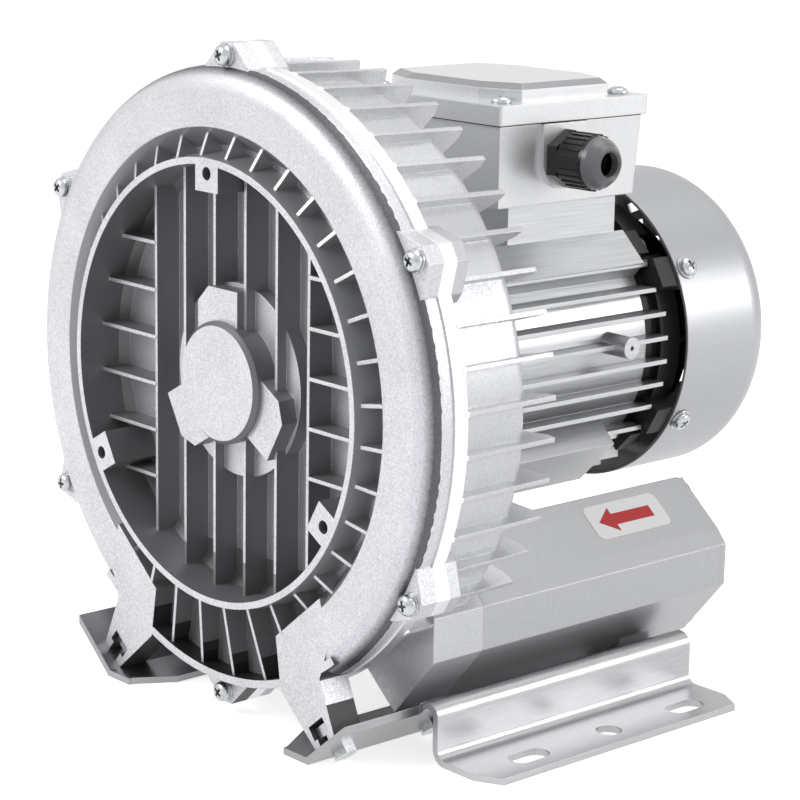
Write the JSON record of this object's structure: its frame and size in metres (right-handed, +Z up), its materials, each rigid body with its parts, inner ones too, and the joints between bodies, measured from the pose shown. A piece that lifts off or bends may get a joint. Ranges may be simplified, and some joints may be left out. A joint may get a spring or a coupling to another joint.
{
  "type": "side channel blower",
  "caption": "Side channel blower with a finned aluminium motor, round ribbed blower housing, two silencer tubes and sheet-metal feet; moves air in through one port and out of the other.",
  "frame": {"origin": "on the floor, in the middle of the foot-hole pattern, under the shaft", "axes": "+Z up, +Y along the shaft from the front cover to the fan cowl, +X towards the inlet silencer and the cable gland"},
  "size_m": [0.236, 0.2405, 0.2469],
  "materials": {
    "cast_silver": "fine cast, pale silver",
    "housing_silver": "satin die-cast",
    "frame_aluminium": "bright satin extrusion",
    "silver_paint": "smooth metallic silver paint",
    "silencer_paint": "fine-textured silver paint",
    "bracket_steel": "satin sheet steel",
    "zinc_screw": "bright zinc plating",
    "bearing_steel": "ground and polished",
    "shaft_steel": "turned and ground",
    "cage_steel": "pressed",
    "impeller_aluminium": "die-cast and machined",
    "sheet_stack": "stacked electrical sheet",
    "rotor_cast": "cast",
    "copper_winding": "varnished copper wire",
    "black_plastic": "dark moulded",
    "fan_plastic": "dark moulded",
    "board_plastic": "moulded",
    "brass_stud": "bright",
    "dark_rubber": "matt",
    "grey_foam": "open-cell foam"
  },
  "bodies": {
    "stator": {"front_cover": "cast_silver", "cover_screws": "zinc_screw", "rear_housing": "housing_silver", "shaft_seal": "dark_rubber", "front_bearing_outer_ring": "bearing_steel", "rear_bearing_outer_ring": "bearing_steel", "stator_core": "sheet_stack", "stator_windings": "copper_winding", "motor_frame": "frame_aluminium", "rear_end_shield": "rotor_cast", "shield_screws": "zinc_screw", "fan_cowl": "silver_paint", "cowl_screws": "zinc_screw", "terminal_box": "cast_silver", "box_screws": "zinc_screw", "box_gasket": "dark_rubber", "box_lid": "cast_silver", "lid_screws": "zinc_screw", "terminal_board": "board_plastic", "terminal_studs": "brass_stud", "gland_body": "black_plastic", "gland_cap": "black_plastic", "gland_seal": "dark_rubber", "gland_locknut": "black_plastic", "inlet_silencer": "silencer_paint", "outlet_silencer": "silencer_paint", "inlet_foam": "grey_foam", "outlet_foam": "grey_foam", "inlet_port_plate": "silencer_paint", "outlet_port_plate": "silencer_paint", "inlet_port_screws": "zinc_screw", "outlet_port_screws": "zinc_screw", "right_foot_bracket": "bracket_steel", "left_foot_bracket": "bracket_steel", "foot_bolts": "zinc_screw", "tee_nuts": "zinc_screw"},
    "rotor": {"shaft": "shaft_steel", "impeller": "impeller_aluminium", "impeller_key": "shaft_steel", "impeller_clip": "cage_steel", "rotor_core": "sheet_stack", "rotor_end_rings": "rotor_cast", "cooling_fan": "fan_plastic", "fan_clip": "cage_steel", "front_bearing_inner_ring": "bearing_steel", "rear_bearing_inner_ring": "bearing_steel"},
    "front_balls": {"front_bearing_balls": "bearing_steel", "front_bearing_cage": "cage_steel"},
    "rear_balls": {"rear_bearing_balls": "bearing_steel", "rear_bearing_cage": "cage_steel"}
  },
  "joints": [
    {"name": "rotor_spin", "type": "hinge", "parent": "stator", "child": "rotor", "pos_m": [0, 0, 0.1255], "axis": [0, 1, 0], "continuous": true},
    {"name": "front_balls_orbit", "type": "hinge", "parent": "stator", "child": "front_balls", "pos_m": [0, -0.0855, 0.1255], "axis": [0, 1, 0], "continuous": true},
    {"name": "rear_balls_orbit", "type": "hinge", "parent": "stator", "child": "rear_balls", "pos_m": [0, 0.0708, 0.1255], "axis": [0, 1, 0], "continuous": true}
  ],
  "couplings": [
    {"joint": "front_balls_orbit", "follows": "rotor_spin", "ratio": 0.38},
    {"joint": "rear_balls_orbit", "follows": "rotor_spin", "ratio": 0.38}
  ]
}
